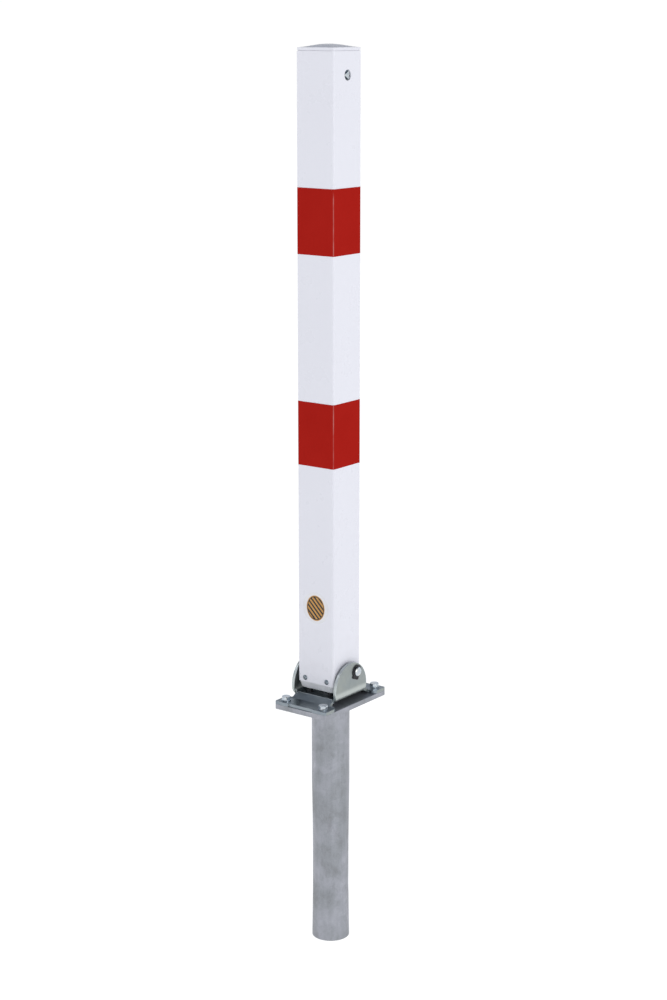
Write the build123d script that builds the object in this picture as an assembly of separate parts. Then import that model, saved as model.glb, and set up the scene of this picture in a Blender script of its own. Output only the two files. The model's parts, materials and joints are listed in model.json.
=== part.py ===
from build123d import *
import math
import os

# Fold-down barrier post on a ground anchor. Millimetres, +Z up. The origin is on the
# ground line: the centre of the ground plate's underside, on the ground tube's axis.
# +X is the side with the lock, -Y is the front, and the post folds down towards +Y.

# ---- Post tube and its cap
POST_WIDTH = 70.0
POST_WALL = 3.0
POST_CORNER = 4.0
LEAST_INSIDE_CORNER = 0.5
POST_LENGTH = 975.0
POST_SET_FORWARD = 4.0          # post axis in front of the ground tube's axis
CAP_SEAM = 0.6                  # shadow gap between the tube's end and the cap's rim
CAP_SEAM_DEPTH = 1.2
CAP_RIM = 4.4
CAP_INSET = 0.3
CAP_DOME = 5.2
CAP_DOME_POINTS = 9             # rows of the dome's surface, each way
CAP_SKIRT_DEPTH = 14.0
CAP_SKIRT_WALL = 2.5

# ---- Markings on the post
BAND_HEIGHT = 100.0
BAND_FOIL = 0.2
UPPER_BAND_BELOW_TOP = 200.0
LOWER_BAND_BELOW_TOP = 525.0
LABEL_DIAMETER = 50.0
LABEL_FOIL = 0.15
LABEL_ABOVE_TUBE_END = 124.0

# ---- Foot block in the lower end of the post
FLANGE_HEIGHT = 11.0
FLANGE_INSET = 0.7
FLANGE_DRAFT = 2.6              # the flange narrows by this on each side, downwards
FLANGE_CHAMFER = 0.8
SPIGOT_HEIGHT = 52.0
SPIGOT_GAP = 0.2
FOOT_SCREW_DIAMETER = 5.0
FOOT_SCREW_LENGTH = 10.0
FOOT_SCREW_SPREAD = 42.0
FOOT_SCREW_RISE = 6.5           # above the tube's lower end
FOOT_SCREW_HEAD_DIAMETER = 8.6
FOOT_SCREW_HEAD_HEIGHT = 2.4
FOOT_SCREW_SOCKET = 3.0         # across flats

# ---- Hinge pin
PIN_DIAMETER = 15.0
PIN_TO_REAR_FACE = 20.6
PIN_ABOVE_BLOCK_BASE = 27.4
PIN_OVERHANG = 4.5              # past each ear's outer face
PIN_CHAMFER = 1.0
PIN_RUNNING_GAP = 0.05          # on the radius, in the foot block
PIN_EAR_GAP = 0.05
PIN_TUBE_GAP = 0.6
RING_THICKNESS = 1.2
RING_WIDTH = 3.6
RING_GROOVE_DEPTH = 0.4
RING_EAR_GAP = 0.2
RING_OPENING = 0.8
RING_LUG_RADIUS = 3.6
RING_LUG_SETBACK = 0.3          # lug's centre inside the ring's rim
RING_LUG_HOLE = 0.6
RING_TURN = 20.0                # the opening, from straight down towards the front

# ---- Hinge bracket, folded from one steel sheet
SHEET = 5.0
EAR_POST_GAP = 3.5
EAR_OVERHANG = 6.0              # ear's radius past the post's half width
EAR_RIM = 9.3                   # from the pin's hole to the ear's top
EAR_BEND_INSIDE = 5.0
EAR_EDGE_ROUND = 0.8
PLATFORM_LIFT = 8.0             # platform's underside above the ground plate
PLATFORM_OVERHANG = 5.5         # platform's half length past the post's half width
SWING_CLEARANCE = 3.0           # under the block's rear edge as the post folds
LEG_RUN = 12.0
LEG_BEND_INSIDE = 3.0
LEG_INSET = 1.5                 # leg's edge inside the ear's inner face
FOOT_LENGTH = 27.5
FOOT_SIDE = 6.5                 # foot's half width past the ear's outer face
FOOT_CORNER = 2.5
FOOT_SHOULDER = 8.0             # rounding of the foot's corners beside the leg
FOOT_RECESS_DEPTH = 1.6
FOOT_RECESS_WIDTH = 48.0
RELIEF_RADIUS = 1.8

# ---- Ground anchor
PLATE_THICKNESS = 8.0
PLATE_CORNER = 2.5
PLATE_EDGE = 0.5
GROUND_TUBE_DIAMETER = 60.3
GROUND_TUBE_WALL = 2.9
GROUND_TUBE_LENGTH = 400.0
GROUND_TUBE_STRAIGHT = 130.0
WAIST_DEPTH = 1.3
CRIMP_COUNT = 3
CRIMP_TURN = -60.0              # first crimp's direction, from +X towards +Y
CRIMP_ABOVE_END = 92.0
CRIMP_DEPTH = 2.2
CRIMP_RADIUS = 60.0
WELD_LEG = 4.0
WELD_BEVEL = 2.0                # bevel on the tube's end under the weld
ANCHOR_RECESS_DEPTH = 1.0       # recess in the plate that locates the tube
ANCHOR_RECESS_GAP = 0.5

# ---- Bolts that hold the bracket on the plate
BOLT_DIAMETER = 8.0
BOLT_LENGTH = 14.0
BOLT_HOLE_GAP = 0.5
BOLT_HEAD_FLATS = 13.0
BOLT_HEAD_HEIGHT = 5.3
BOLT_FROM_FOOT_SIDE = 13.5
BOLT_FROM_FOOT_END = 11.5
BOLT_HEAD_TURN = 12.0
WASHER_DIAMETER = 14.8
WASHER_THICKNESS = 2.0
WASHER_SLIT = 1.2
WASHER_SLIT_LEAN = 20.0
HEAD_CHAMFER = 0.9

# ---- Stops that carry the upright post
STOP_DIAMETER = 8.0
STOP_HEAD_DIAMETER = 10.0
STOP_SPREAD = 42.0
STOP_FROM_FRONT_FACE = 12.0
STOP_GAP = 0.3
STOP_HEAD_ROUND = 1.5
STOP_NUT_FLATS = 13.0
STOP_NUT_HEIGHT = 4.0
STOP_SHANK_BELOW = 5.0

# ---- Triangular-key lock
LOCK_BELOW_TOP = 35.0
KEYHOLE_DIAMETER = 16.0
LOCK_HOUSING_SIZE = 30.0
LOCK_HOUSING_DEPTH = 15.0
COUNTERBORE_DEPTH = 5.0
KEY_TRIANGLE_RADIUS = 7.3
KEY_TRIANGLE_ROUND = 1.0
KEY_RECESS = 0.8                # key face behind the tube's outer face
SPINDLE_DIAMETER = 12.0
SPINDLE_RUNNING_GAP = 0.05
SPINDLE_COLLAR_DIAMETER = 15.2
SPINDLE_COLLAR_THICKNESS = 2.5
SPINDLE_COLLAR_GAP = 0.3
SPINDLE_TAIL_DIAMETER = 9.0
CRANK_GAP = 1.0
CRANK_THICKNESS = 5.0
CRANK_RADIUS = 12.0
CRANK_BOSS_DIAMETER = 17.0
CRANK_END_DIAMETER = 12.0
CRANK_HALF_TURN = 45.0          # the key turns twice this from open to locked
CRANK_PIN_DIAMETER = 6.0
CRANK_SCREW_DIAMETER = 4.0
CRANK_SCREW_DEPTH = 8.0
CRANK_SCREW_HEAD_DIAMETER = 7.0
CRANK_SCREW_HEAD_HEIGHT = 2.6
CRANK_SCREW_SOCKET = 2.5
CRANK_WASHER_DIAMETER = 12.0
CRANK_WASHER_THICKNESS = 1.0
YOKE_GAP = 5.0
YOKE_THICKNESS = 12.0
YOKE_SLOT_GAP = 0.7             # above and below the crank pin
YOKE_SLOT_END_GAP = 0.5
YOKE_RIM = 4.0
YOKE_SLEEVE_LENGTH = 24.0
YOKE_SLEEVE_WALL = 3.0
RIVET_DIAMETER = 4.0
RIVET_HEAD_DIAMETER = 6.5
RIVET_HEAD_HEIGHT = 1.2
ROD_DIAMETER = 12.0
ROD_TIP_CHAMFER = 1.5
ROD_TIP_RECESS = 1.0            # open rod's tip above the block's underside
ROD_GUIDE_GAP = 0.3
ROD_WINDOW_GAP = 1.0
GUIDE_THICKNESS = 8.0
GUIDE_OPENING = 14.0
UPPER_GUIDE_BELOW_TOP = 130.0
MIDDLE_GUIDE_BELOW_TOP = 487.5

# ---- Heights, worked out from the ground line up
PLATFORM_BASE = PLATE_THICKNESS + PLATFORM_LIFT
PLATFORM_TOP = PLATFORM_BASE + SHEET
FOOT_TOP = PLATE_THICKNESS + SHEET
BLOCK_REAR = PIN_TO_REAR_FACE - FLANGE_INSET - FLANGE_DRAFT
SWING_RADIUS = math.hypot(BLOCK_REAR, PIN_ABOVE_BLOCK_BASE)
BLOCK_BASE = PLATFORM_TOP + SWING_RADIUS - PIN_ABOVE_BLOCK_BASE + SWING_CLEARANCE
PIN_Z = BLOCK_BASE + PIN_ABOVE_BLOCK_BASE
TUBE_BASE = BLOCK_BASE + FLANGE_HEIGHT
TUBE_TOP = TUBE_BASE + POST_LENGTH
LOCK_Z = TUBE_TOP - LOCK_BELOW_TOP

# ---- Places across the post
POST_Y = -POST_SET_FORWARD
POST_HALF = POST_WIDTH / 2
POST_INSIDE = POST_WIDTH - 2 * POST_WALL
POST_INSIDE_CORNER = max(POST_CORNER - POST_WALL, LEAST_INSIDE_CORNER)
PIN_Y = POST_Y + POST_HALF - PIN_TO_REAR_FACE
EAR_INNER = POST_HALF + EAR_POST_GAP
EAR_OUTER = EAR_INNER + SHEET
EAR_RADIUS = POST_HALF + EAR_OVERHANG
EAR_CENTRE_Z = PIN_Z + PIN_DIAMETER / 2 + EAR_RIM - EAR_RADIUS
PLATFORM_HALF = POST_HALF + PLATFORM_OVERHANG
EAR_CHORD = math.sqrt(EAR_RADIUS ** 2 - (EAR_CENTRE_Z - PLATFORM_BASE) ** 2)
BEND_START = EAR_INNER - EAR_BEND_INSIDE
LEG_HALF = EAR_INNER - LEG_INSET
FOOT_START = PLATFORM_HALF + LEG_RUN
FOOT_END = FOOT_START + FOOT_LENGTH
FOOT_HALF = EAR_OUTER + FOOT_SIDE
BOLT_X = FOOT_HALF - BOLT_FROM_FOOT_SIDE
BOLT_Y = FOOT_END - BOLT_FROM_FOOT_END
STOP_Y = POST_Y - POST_HALF + STOP_FROM_FRONT_FACE

# ---- Lock train, worked inwards from the tube's wall
HOUSING_OUTER = POST_INSIDE / 2
HOUSING_INNER = HOUSING_OUTER - LOCK_HOUSING_DEPTH
COUNTERBORE_FLOOR = HOUSING_OUTER - COUNTERBORE_DEPTH
CRANK_OUTER = HOUSING_INNER - CRANK_GAP
CRANK_INNER = CRANK_OUTER - CRANK_THICKNESS
YOKE_OUTER = CRANK_INNER - YOKE_GAP
ROD_X = YOKE_OUTER - YOKE_THICKNESS / 2
ROD_Y = POST_Y - CRANK_RADIUS
ROD_TRAVEL = 2 * CRANK_RADIUS * math.sin(math.radians(CRANK_HALF_TURN))
CRANK_PIN_Y = POST_Y - CRANK_RADIUS * math.cos(math.radians(CRANK_HALF_TURN))
CRANK_PIN_Z = LOCK_Z + ROD_TRAVEL / 2
YOKE_SLOT_HEIGHT = CRANK_PIN_DIAMETER + 2 * YOKE_SLOT_GAP
YOKE_FRONT = ROD_Y - CRANK_PIN_DIAMETER / 2 - YOKE_SLOT_END_GAP
YOKE_REAR = CRANK_PIN_Y + CRANK_PIN_DIAMETER / 2 + YOKE_SLOT_END_GAP
YOKE_BASE = CRANK_PIN_Z - YOKE_SLOT_HEIGHT / 2 - YOKE_RIM
ROD_TIP = BLOCK_BASE + ROD_TIP_RECESS


def corners(half_x, half_y):
    """Four places of a rectangle's corners."""
    return [(x, y) for x in (-half_x, half_x) for y in (-half_y, half_y)]


def post_prism(width, corner, base, top):
    """Square bar with rounded edges on the post's axis, between two heights."""
    section = RectangleRounded(width, width, corner)
    return Pos(0, POST_Y, base) * extrude(section, top - base)


def bar_x(radius, start, end, y, z):
    """Round bar along X."""
    return Pos((start + end) / 2, y, z) * Rot(0, 90, 0) * Cylinder(radius, end - start)


def bar_y(radius, start, end, x, z):
    """Round bar along Y."""
    return Pos(x, (start + end) / 2, z) * Rot(90, 0, 0) * Cylinder(radius, end - start)


def bar_z(radius, base, top, x, y):
    """Round bar along Z."""
    return Pos(x, y, (base + top) / 2) * Cylinder(radius, top - base)


def hex_prism(across_flats, height):
    """Hexagonal prism that stands on its base, with one pair of flats across Y."""
    return extrude(RegularPolygon(across_flats / 2, 6, major_radius=False), height)


def hex_head(across_flats, height):
    """Hexagonal head whose upper corners are turned off."""
    blank = Pos(0, 0, height / 2) * Cylinder(across_flats / math.sqrt(3), height)
    blank = chamfer(blank.edges().group_by(Axis.Z)[-1], HEAD_CHAMFER)
    return hex_prism(across_flats, height) & blank


# ---- Ground anchor

def waisted_bar(radius):
    """Round bar of the ground tube's length, drawn in a little below its straight part."""
    base = -GROUND_TUBE_LENGTH
    top = ANCHOR_RECESS_DEPTH
    middle = (base - GROUND_TUBE_STRAIGHT) / 2
    outline = Polyline((0, base), (0, top), (radius, top), (radius, -GROUND_TUBE_STRAIGHT))
    outline += ThreePointArc(
        (radius, -GROUND_TUBE_STRAIGHT), (radius - WAIST_DEPTH, middle), (radius, base)
    )
    outline += Line((radius, base), (0, base))
    return revolve(Plane.XZ * make_face(outline), Axis.Z)


def crimp_dies(radius, dent):
    """Bars across the tube that press the crimps into a bar of this radius."""
    reach = radius - WAIST_DEPTH - CRIMP_DEPTH + dent
    height = CRIMP_ABOVE_END - GROUND_TUBE_LENGTH
    die = Pos(reach, 0, height) * Rot(90, 0, 0) * Cylinder(dent, 2 * radius)
    turn = 360 / CRIMP_COUNT
    return [Rot(0, 0, CRIMP_TURN + turn * i) * die for i in range(CRIMP_COUNT)]


def ground_tube():
    radius = GROUND_TUBE_DIAMETER / 2
    bore = radius - GROUND_TUBE_WALL
    outside = waisted_bar(radius) - crimp_dies(radius, CRIMP_RADIUS)
    inside = waisted_bar(bore) - crimp_dies(bore, CRIMP_RADIUS + GROUND_TUBE_WALL)
    return outside - inside - tube_weld()


def tube_weld():
    """Fillet weld between the plate's recess and the bevelled end of the tube."""
    radius = GROUND_TUBE_DIAMETER / 2
    root = (radius - WELD_BEVEL, ANCHOR_RECESS_DEPTH)
    plate_toe = (radius + WELD_LEG, ANCHOR_RECESS_DEPTH)
    tube_toe = (radius, ANCHOR_RECESS_DEPTH - WELD_LEG)
    return revolve(Plane.XZ * make_face(Polyline(root, plate_toe, tube_toe, close=True)), Axis.Z)


def ground_plate():
    plate = extrude(RectangleRounded(2 * FOOT_HALF, 2 * FOOT_END, PLATE_CORNER), PLATE_THICKNESS)
    plate = chamfer(plate.edges().group_by(Axis.Z)[-1], PLATE_EDGE)
    recess = GROUND_TUBE_DIAMETER / 2 + WELD_LEG + ANCHOR_RECESS_GAP
    plate -= bar_z(recess, 0, ANCHOR_RECESS_DEPTH, 0, 0)
    for x, y in corners(BOLT_X, BOLT_Y):
        plate -= bar_z(BOLT_DIAMETER / 2, 0, PLATE_THICKNESS, x, y)
    return plate


# ---- Hinge bracket

def channel(half_width, bend, base, top):
    """U-channel blank along Y: a box whose two lower edges are rounded."""
    section = Rectangle(2 * half_width, top - base)
    section = fillet(section.vertices().group_by(Axis.Y)[0], bend)
    return extrude(Plane.XZ * Pos(0, (base + top) / 2) * section, 2 * EAR_RADIUS, both=True)


def strip():
    """Platform, sloping legs and feet in side view, across the bracket's full width."""
    slope = math.atan2(PLATFORM_LIFT, LEG_RUN)
    shift = SHEET * math.tan(slope / 2)
    inside = LEG_BEND_INSIDE
    outside = LEG_BEND_INSIDE + SHEET
    upper = FilletPolyline(
        (-FOOT_END, FOOT_TOP),
        (-FOOT_START, FOOT_TOP),
        (-PLATFORM_HALF, PLATFORM_TOP),
        (PLATFORM_HALF, PLATFORM_TOP),
        (FOOT_START, FOOT_TOP),
        (FOOT_END, FOOT_TOP),
        radius=[inside, outside, outside, inside],
    )
    lower = FilletPolyline(
        (-FOOT_END, PLATE_THICKNESS),
        (-FOOT_START + shift, PLATE_THICKNESS),
        (-PLATFORM_HALF + shift, PLATFORM_BASE),
        (PLATFORM_HALF - shift, PLATFORM_BASE),
        (FOOT_START - shift, PLATE_THICKNESS),
        (FOOT_END, PLATE_THICKNESS),
        radius=[outside, inside, inside, outside],
    )
    front = Line(lower @ 0, upper @ 0)
    rear = Line(lower @ 1, upper @ 1)
    return extrude(Plane.YZ * make_face(upper + lower + front + rear), FOOT_HALF, both=True)


def foot_plan():
    """Plan of the foot at +Y: tight outer corners and rounder shoulders beside the leg."""
    shift = SHEET * math.tan(math.atan2(PLATFORM_LIFT, LEG_RUN) / 2)
    length = FOOT_LENGTH + shift
    foot = Rectangle(2 * FOOT_HALF, length)
    shoulders, ends = foot.vertices().group_by(Axis.Y)
    foot = fillet(shoulders, FOOT_SHOULDER)
    foot = fillet(foot.vertices().group_by(Axis.Y)[-1], FOOT_CORNER)
    foot = Pos(0, FOOT_END - length / 2) * foot
    return foot - Pos(0, FOOT_END) * Rectangle(FOOT_RECESS_WIDTH, 2 * FOOT_RECESS_DEPTH)


def bracket_plan():
    """Plan of the platform, legs and feet, as a tall blank."""
    plan = Rectangle(2 * BEND_START, 2 * FOOT_START) + foot_plan() + Rot(0, 0, 180) * foot_plan()
    reach = FOOT_START + FOOT_SHOULDER
    for start, end in ((-reach, -PLATFORM_HALF), (POST_Y + EAR_CHORD, reach)):
        plan += Pos(0, (start + end) / 2) * Rectangle(2 * LEG_HALF, end - start)
    return extrude(plan, PLATFORM_TOP)


def hinge_bracket():
    ear_top = EAR_CENTRE_Z + EAR_RADIUS
    ears = channel(EAR_OUTER, EAR_BEND_INSIDE + SHEET, PLATFORM_BASE, ear_top)
    ears -= channel(EAR_INNER, EAR_BEND_INSIDE, PLATFORM_TOP, ear_top)
    ears &= bar_x(EAR_RADIUS, -EAR_OUTER, EAR_OUTER, POST_Y, EAR_CENTRE_Z)
    rims = ears.edges().filter_by(GeomType.CIRCLE)
    rims = rims.filter_by(lambda edge: abs(edge.radius - EAR_RADIUS) < 0.01)
    ears = fillet(rims, EAR_EDGE_ROUND)
    front = PLATFORM_HALF + EAR_RADIUS
    ears -= Pos(0, -front, PLATFORM_BASE) * Box(2 * BEND_START, 2 * EAR_RADIUS, 2 * SHEET)
    bracket = ears + (strip() & bracket_plan())
    relief_top = PLATFORM_TOP + EAR_BEND_INSIDE
    for x in (-LEG_HALF, LEG_HALF):
        for y in (-PLATFORM_HALF - RELIEF_RADIUS, POST_Y + EAR_CHORD + RELIEF_RADIUS):
            bracket -= bar_z(RELIEF_RADIUS, PLATE_THICKNESS, relief_top, x, y)
    bracket -= bar_x(PIN_DIAMETER / 2 + PIN_EAR_GAP, -EAR_OUTER, EAR_OUTER, PIN_Y, PIN_Z)
    for x, y in corners(BOLT_X, BOLT_Y):
        bracket -= bar_z(BOLT_DIAMETER / 2 + BOLT_HOLE_GAP, PLATE_THICKNESS, FOOT_TOP, x, y)
    for x in (-STOP_SPREAD / 2, STOP_SPREAD / 2):
        bracket -= bar_z(STOP_DIAMETER / 2, PLATFORM_BASE, PLATFORM_TOP, x, STOP_Y)
    window = ROD_DIAMETER + 2 * ROD_WINDOW_GAP
    bracket -= Pos(ROD_X, ROD_Y, PLATFORM_TOP - SHEET / 2) * Box(window, window, SHEET)
    return bracket


def bracket_washers():
    """Spring lock washers, split by a leaning slit on the side towards the end."""
    ring = Circle(WASHER_DIAMETER / 2) - Circle(BOLT_DIAMETER / 2)
    washer = extrude(ring, WASHER_THICKNESS)
    slit = Rot(0, WASHER_SLIT_LEAN, 0) * Box(WASHER_SLIT, WASHER_DIAMETER, 2 * WASHER_DIAMETER)
    washer -= Pos(0, WASHER_DIAMETER / 2, WASHER_THICKNESS / 2) * slit
    places = corners(BOLT_X, BOLT_Y)
    return [Pos(x, y, FOOT_TOP) * Rot(0, 0, 90 - math.copysign(90, y)) * washer for x, y in places]


def bracket_bolts():
    seat = FOOT_TOP + WASHER_THICKNESS
    head = Pos(0, 0, seat) * hex_head(BOLT_HEAD_FLATS, BOLT_HEAD_HEIGHT)
    bolt = head + bar_z(BOLT_DIAMETER / 2, seat - BOLT_LENGTH, seat, 0, 0)
    places = enumerate(corners(BOLT_X, BOLT_Y))
    return [Pos(x, y, 0) * Rot(0, 0, BOLT_HEAD_TURN * (i + 1)) * bolt for i, (x, y) in places]


def stop_screws():
    top = BLOCK_BASE - STOP_GAP
    head = bar_z(STOP_HEAD_DIAMETER / 2, PLATFORM_TOP, top, 0, 0)
    head = fillet(head.edges().group_by(Axis.Z)[-1], STOP_HEAD_ROUND)
    screw = head + bar_z(STOP_DIAMETER / 2, PLATFORM_BASE - STOP_SHANK_BELOW, PLATFORM_TOP, 0, 0)
    return [Pos(x, STOP_Y, 0) * screw for x in (-STOP_SPREAD / 2, STOP_SPREAD / 2)]


def stop_nuts():
    nut = hex_prism(STOP_NUT_FLATS, STOP_NUT_HEIGHT)
    nut -= bar_z(STOP_DIAMETER / 2, 0, STOP_NUT_HEIGHT, 0, 0)
    base = PLATFORM_BASE - STOP_NUT_HEIGHT
    return [Pos(x, STOP_Y, base) * nut for x in (-STOP_SPREAD / 2, STOP_SPREAD / 2)]


# ---- Hinge pin

def pivot_pin():
    end = EAR_OUTER + PIN_OVERHANG
    pin = bar_x(PIN_DIAMETER / 2, -end, end, PIN_Y, PIN_Z)
    pin = chamfer(pin.edges().filter_by(GeomType.CIRCLE), PIN_CHAMFER)
    root = PIN_DIAMETER / 2 - RING_GROOVE_DEPTH
    for side in (-1, 1):
        start = side * (EAR_OUTER + RING_EAR_GAP)
        stop = start + side * RING_THICKNESS
        low = min(start, stop)
        high = max(start, stop)
        groove = bar_x(PIN_DIAMETER / 2, low, high, PIN_Y, PIN_Z)
        pin -= groove - bar_x(root, low, high, PIN_Y, PIN_Z)
    return pin


def pin_retaining_rings():
    """Sprung rings that open at the lower front, with an eyed lug on each end."""
    inner = PIN_DIAMETER / 2 - RING_GROOVE_DEPTH
    outer = inner + RING_WIDTH
    lug_x = RING_OPENING / 2 + RING_LUG_RADIUS
    lug_y = -math.sqrt((outer - RING_LUG_SETBACK) ** 2 - lug_x ** 2)
    shape = Circle(outer)
    for side in (-1, 1):
        shape += Pos(side * lug_x, lug_y) * Circle(RING_LUG_RADIUS)
    shape -= Circle(inner)
    shape -= Pos(0, -outer) * Rectangle(RING_OPENING, 2 * outer)
    for side in (-1, 1):
        shape -= Pos(side * lug_x, lug_y) * Circle(RING_LUG_HOLE)
    rings = []
    for start in (EAR_OUTER + RING_EAR_GAP, -EAR_OUTER - RING_EAR_GAP - RING_THICKNESS):
        blank = extrude(Plane.YZ * Rot(0, 0, -RING_TURN) * shape, RING_THICKNESS)
        rings.append(Pos(start, PIN_Y, PIN_Z) * blank)
    return rings


# ---- Post

def post_tube():
    tube = post_prism(POST_WIDTH, POST_CORNER, TUBE_BASE, TUBE_TOP)
    tube -= post_prism(POST_INSIDE, POST_INSIDE_CORNER, TUBE_BASE, TUBE_TOP)
    tube -= bar_x(PIN_DIAMETER / 2 + PIN_TUBE_GAP, -POST_HALF, POST_HALF, PIN_Y, PIN_Z)
    tube -= bar_x(KEYHOLE_DIAMETER / 2, POST_INSIDE / 2, POST_HALF, POST_Y, LOCK_Z)
    for x in (-FOOT_SCREW_SPREAD / 2, FOOT_SCREW_SPREAD / 2):
        height = TUBE_BASE + FOOT_SCREW_RISE
        tube -= bar_y(FOOT_SCREW_DIAMETER / 2, POST_Y - POST_HALF, POST_Y + POST_HALF, x, height)
    return tube


def cap_dome(half):
    """Pillow over a square: flat along all four sides and highest in the middle."""
    steps = [-1 + 2 * i / (CAP_DOME_POINTS - 1) for i in range(CAP_DOME_POINTS)]
    grid = []
    for u in steps:
        grid.append([Vector(half * u, half * v, CAP_DOME * (1 - u * u) * (1 - v * v)) for v in steps])
    pillow = Face.make_surface_from_array_of_points(grid)
    base = Face.make_rect(2 * half, 2 * half)
    return Solid(Shell([pillow, base]))


def post_cap():
    rim_half = POST_HALF - CAP_INSET
    rim_base = TUBE_TOP + CAP_SEAM
    rim_top = rim_base + CAP_RIM
    skirt = POST_INSIDE - 2 * SPIGOT_GAP
    corner = POST_INSIDE_CORNER
    cap = post_prism(2 * rim_half, POST_CORNER, rim_base, rim_top)
    cap += post_prism(2 * (rim_half - CAP_SEAM_DEPTH), POST_CORNER, TUBE_TOP, rim_base)
    cap += post_prism(skirt, corner, TUBE_TOP - CAP_SKIRT_DEPTH, TUBE_TOP)
    cap -= post_prism(skirt - 2 * CAP_SKIRT_WALL, corner, TUBE_TOP - CAP_SKIRT_DEPTH, TUBE_TOP)
    trim = post_prism(2 * rim_half, POST_CORNER, rim_top, rim_top + CAP_DOME)
    return cap + (Pos(0, POST_Y, rim_top) * cap_dome(rim_half) & trim)


def red_band(below_top):
    top = TUBE_TOP - below_top
    sleeve = post_prism(POST_WIDTH + 2 * BAND_FOIL, POST_CORNER + BAND_FOIL, top - BAND_HEIGHT, top)
    return sleeve - post_prism(POST_WIDTH, POST_CORNER, top - BAND_HEIGHT, top)


def label():
    face = POST_Y - POST_HALF
    return bar_y(LABEL_DIAMETER / 2, face - LABEL_FOIL, face, 0, TUBE_BASE + LABEL_ABOVE_TUBE_END)


def foot_block():
    top_width = POST_WIDTH - 2 * FLANGE_INSET
    base_width = top_width - 2 * FLANGE_DRAFT
    base_section = Pos(0, POST_Y, BLOCK_BASE) * RectangleRounded(base_width, base_width, POST_CORNER)
    top_section = Pos(0, POST_Y, TUBE_BASE) * RectangleRounded(top_width, top_width, POST_CORNER)
    flange = loft([base_section, top_section])
    flange = chamfer(flange.edges().group_by(Axis.Z)[0], FLANGE_CHAMFER)
    width = POST_INSIDE - 2 * SPIGOT_GAP
    block = flange + post_prism(width, POST_INSIDE_CORNER, TUBE_BASE, TUBE_BASE + SPIGOT_HEIGHT)
    block -= bar_x(PIN_DIAMETER / 2 + PIN_RUNNING_GAP, -POST_HALF, POST_HALF, PIN_Y, PIN_Z)
    top = TUBE_BASE + SPIGOT_HEIGHT
    block -= bar_z(ROD_DIAMETER / 2 + ROD_GUIDE_GAP, BLOCK_BASE, top, ROD_X, ROD_Y)
    for screw in foot_screw_shanks():
        block -= screw
    return block


def foot_screw_shanks():
    """Shanks of the two front and two rear screws."""
    height = TUBE_BASE + FOOT_SCREW_RISE
    front = POST_Y - POST_HALF
    rear = POST_Y + POST_HALF
    radius = FOOT_SCREW_DIAMETER / 2
    shanks = []
    for x in (-FOOT_SCREW_SPREAD / 2, FOOT_SCREW_SPREAD / 2):
        shanks.append(bar_y(radius, front, front + FOOT_SCREW_LENGTH, x, height))
        shanks.append(bar_y(radius, rear - FOOT_SCREW_LENGTH, rear, x, height))
    return shanks


def foot_screws():
    """Domed socket-head screws that join the tube to the foot block."""
    rise = FOOT_SCREW_HEAD_HEIGHT
    half = FOOT_SCREW_HEAD_DIAMETER / 2
    ball = (half ** 2 + rise ** 2) / (2 * rise)
    head = Pos(0, 0, rise - ball) * Sphere(ball)
    head &= Pos(0, 0, rise / 2) * Cylinder(half, rise)
    head -= Pos(0, 0, rise / 3) * hex_prism(FOOT_SCREW_SOCKET, rise)
    height = TUBE_BASE + FOOT_SCREW_RISE
    screws = []
    for shank in foot_screw_shanks():
        middle = shank.center()
        side = 1 if middle.Y > POST_Y else -1
        face = Pos(middle.X, POST_Y + side * POST_HALF, height)
        screws.append(shank + face * Rot(-90 * side, 0, 0) * head)
    return screws


# ---- Lock

def lock_housing():
    middle = (HOUSING_OUTER + HOUSING_INNER) / 2
    size = LOCK_HOUSING_SIZE
    housing = Pos(middle, POST_Y, LOCK_Z) * Box(LOCK_HOUSING_DEPTH, size, size)
    housing -= bar_x(KEYHOLE_DIAMETER / 2, COUNTERBORE_FLOOR, HOUSING_OUTER, POST_Y, LOCK_Z)
    bore = SPINDLE_DIAMETER / 2 + SPINDLE_RUNNING_GAP
    return housing - bar_x(bore, HOUSING_INNER, COUNTERBORE_FLOOR, POST_Y, LOCK_Z)


def lock_spindle():
    collar_start = COUNTERBORE_FLOOR + SPINDLE_COLLAR_GAP
    collar_end = collar_start + SPINDLE_COLLAR_THICKNESS
    key_end = POST_HALF - KEY_RECESS
    triangle = RegularPolygon(KEY_TRIANGLE_RADIUS, 3, rotation=180)
    triangle = fillet(triangle.vertices(), KEY_TRIANGLE_ROUND)
    key = Pos(collar_end, POST_Y, LOCK_Z) * extrude(Plane.YZ * triangle, key_end - collar_end)
    spindle = key + bar_x(SPINDLE_COLLAR_DIAMETER / 2, collar_start, collar_end, POST_Y, LOCK_Z)
    spindle += bar_x(SPINDLE_DIAMETER / 2, CRANK_OUTER, collar_start, POST_Y, LOCK_Z)
    spindle += bar_x(SPINDLE_TAIL_DIAMETER / 2, CRANK_INNER, CRANK_OUTER, POST_Y, LOCK_Z)
    thread_end = CRANK_INNER + CRANK_SCREW_DEPTH
    return spindle - bar_x(CRANK_SCREW_DIAMETER / 2, CRANK_INNER, thread_end, POST_Y, LOCK_Z)


def crank_arm():
    boss = Circle(CRANK_BOSS_DIAMETER / 2)
    pin_y = CRANK_PIN_Y - POST_Y
    pin_z = CRANK_PIN_Z - LOCK_Z
    outline = make_hull((boss + Pos(pin_y, pin_z) * Circle(CRANK_END_DIAMETER / 2)).edges())
    outline -= Circle(SPINDLE_TAIL_DIAMETER / 2)
    outline -= Pos(pin_y, pin_z) * Circle(CRANK_PIN_DIAMETER / 2)
    return Pos(CRANK_INNER, POST_Y, LOCK_Z) * extrude(Plane.YZ * outline, CRANK_THICKNESS)


def crank_pin():
    start = YOKE_OUTER - YOKE_THICKNESS
    return bar_x(CRANK_PIN_DIAMETER / 2, start, CRANK_OUTER, CRANK_PIN_Y, CRANK_PIN_Z)


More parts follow.
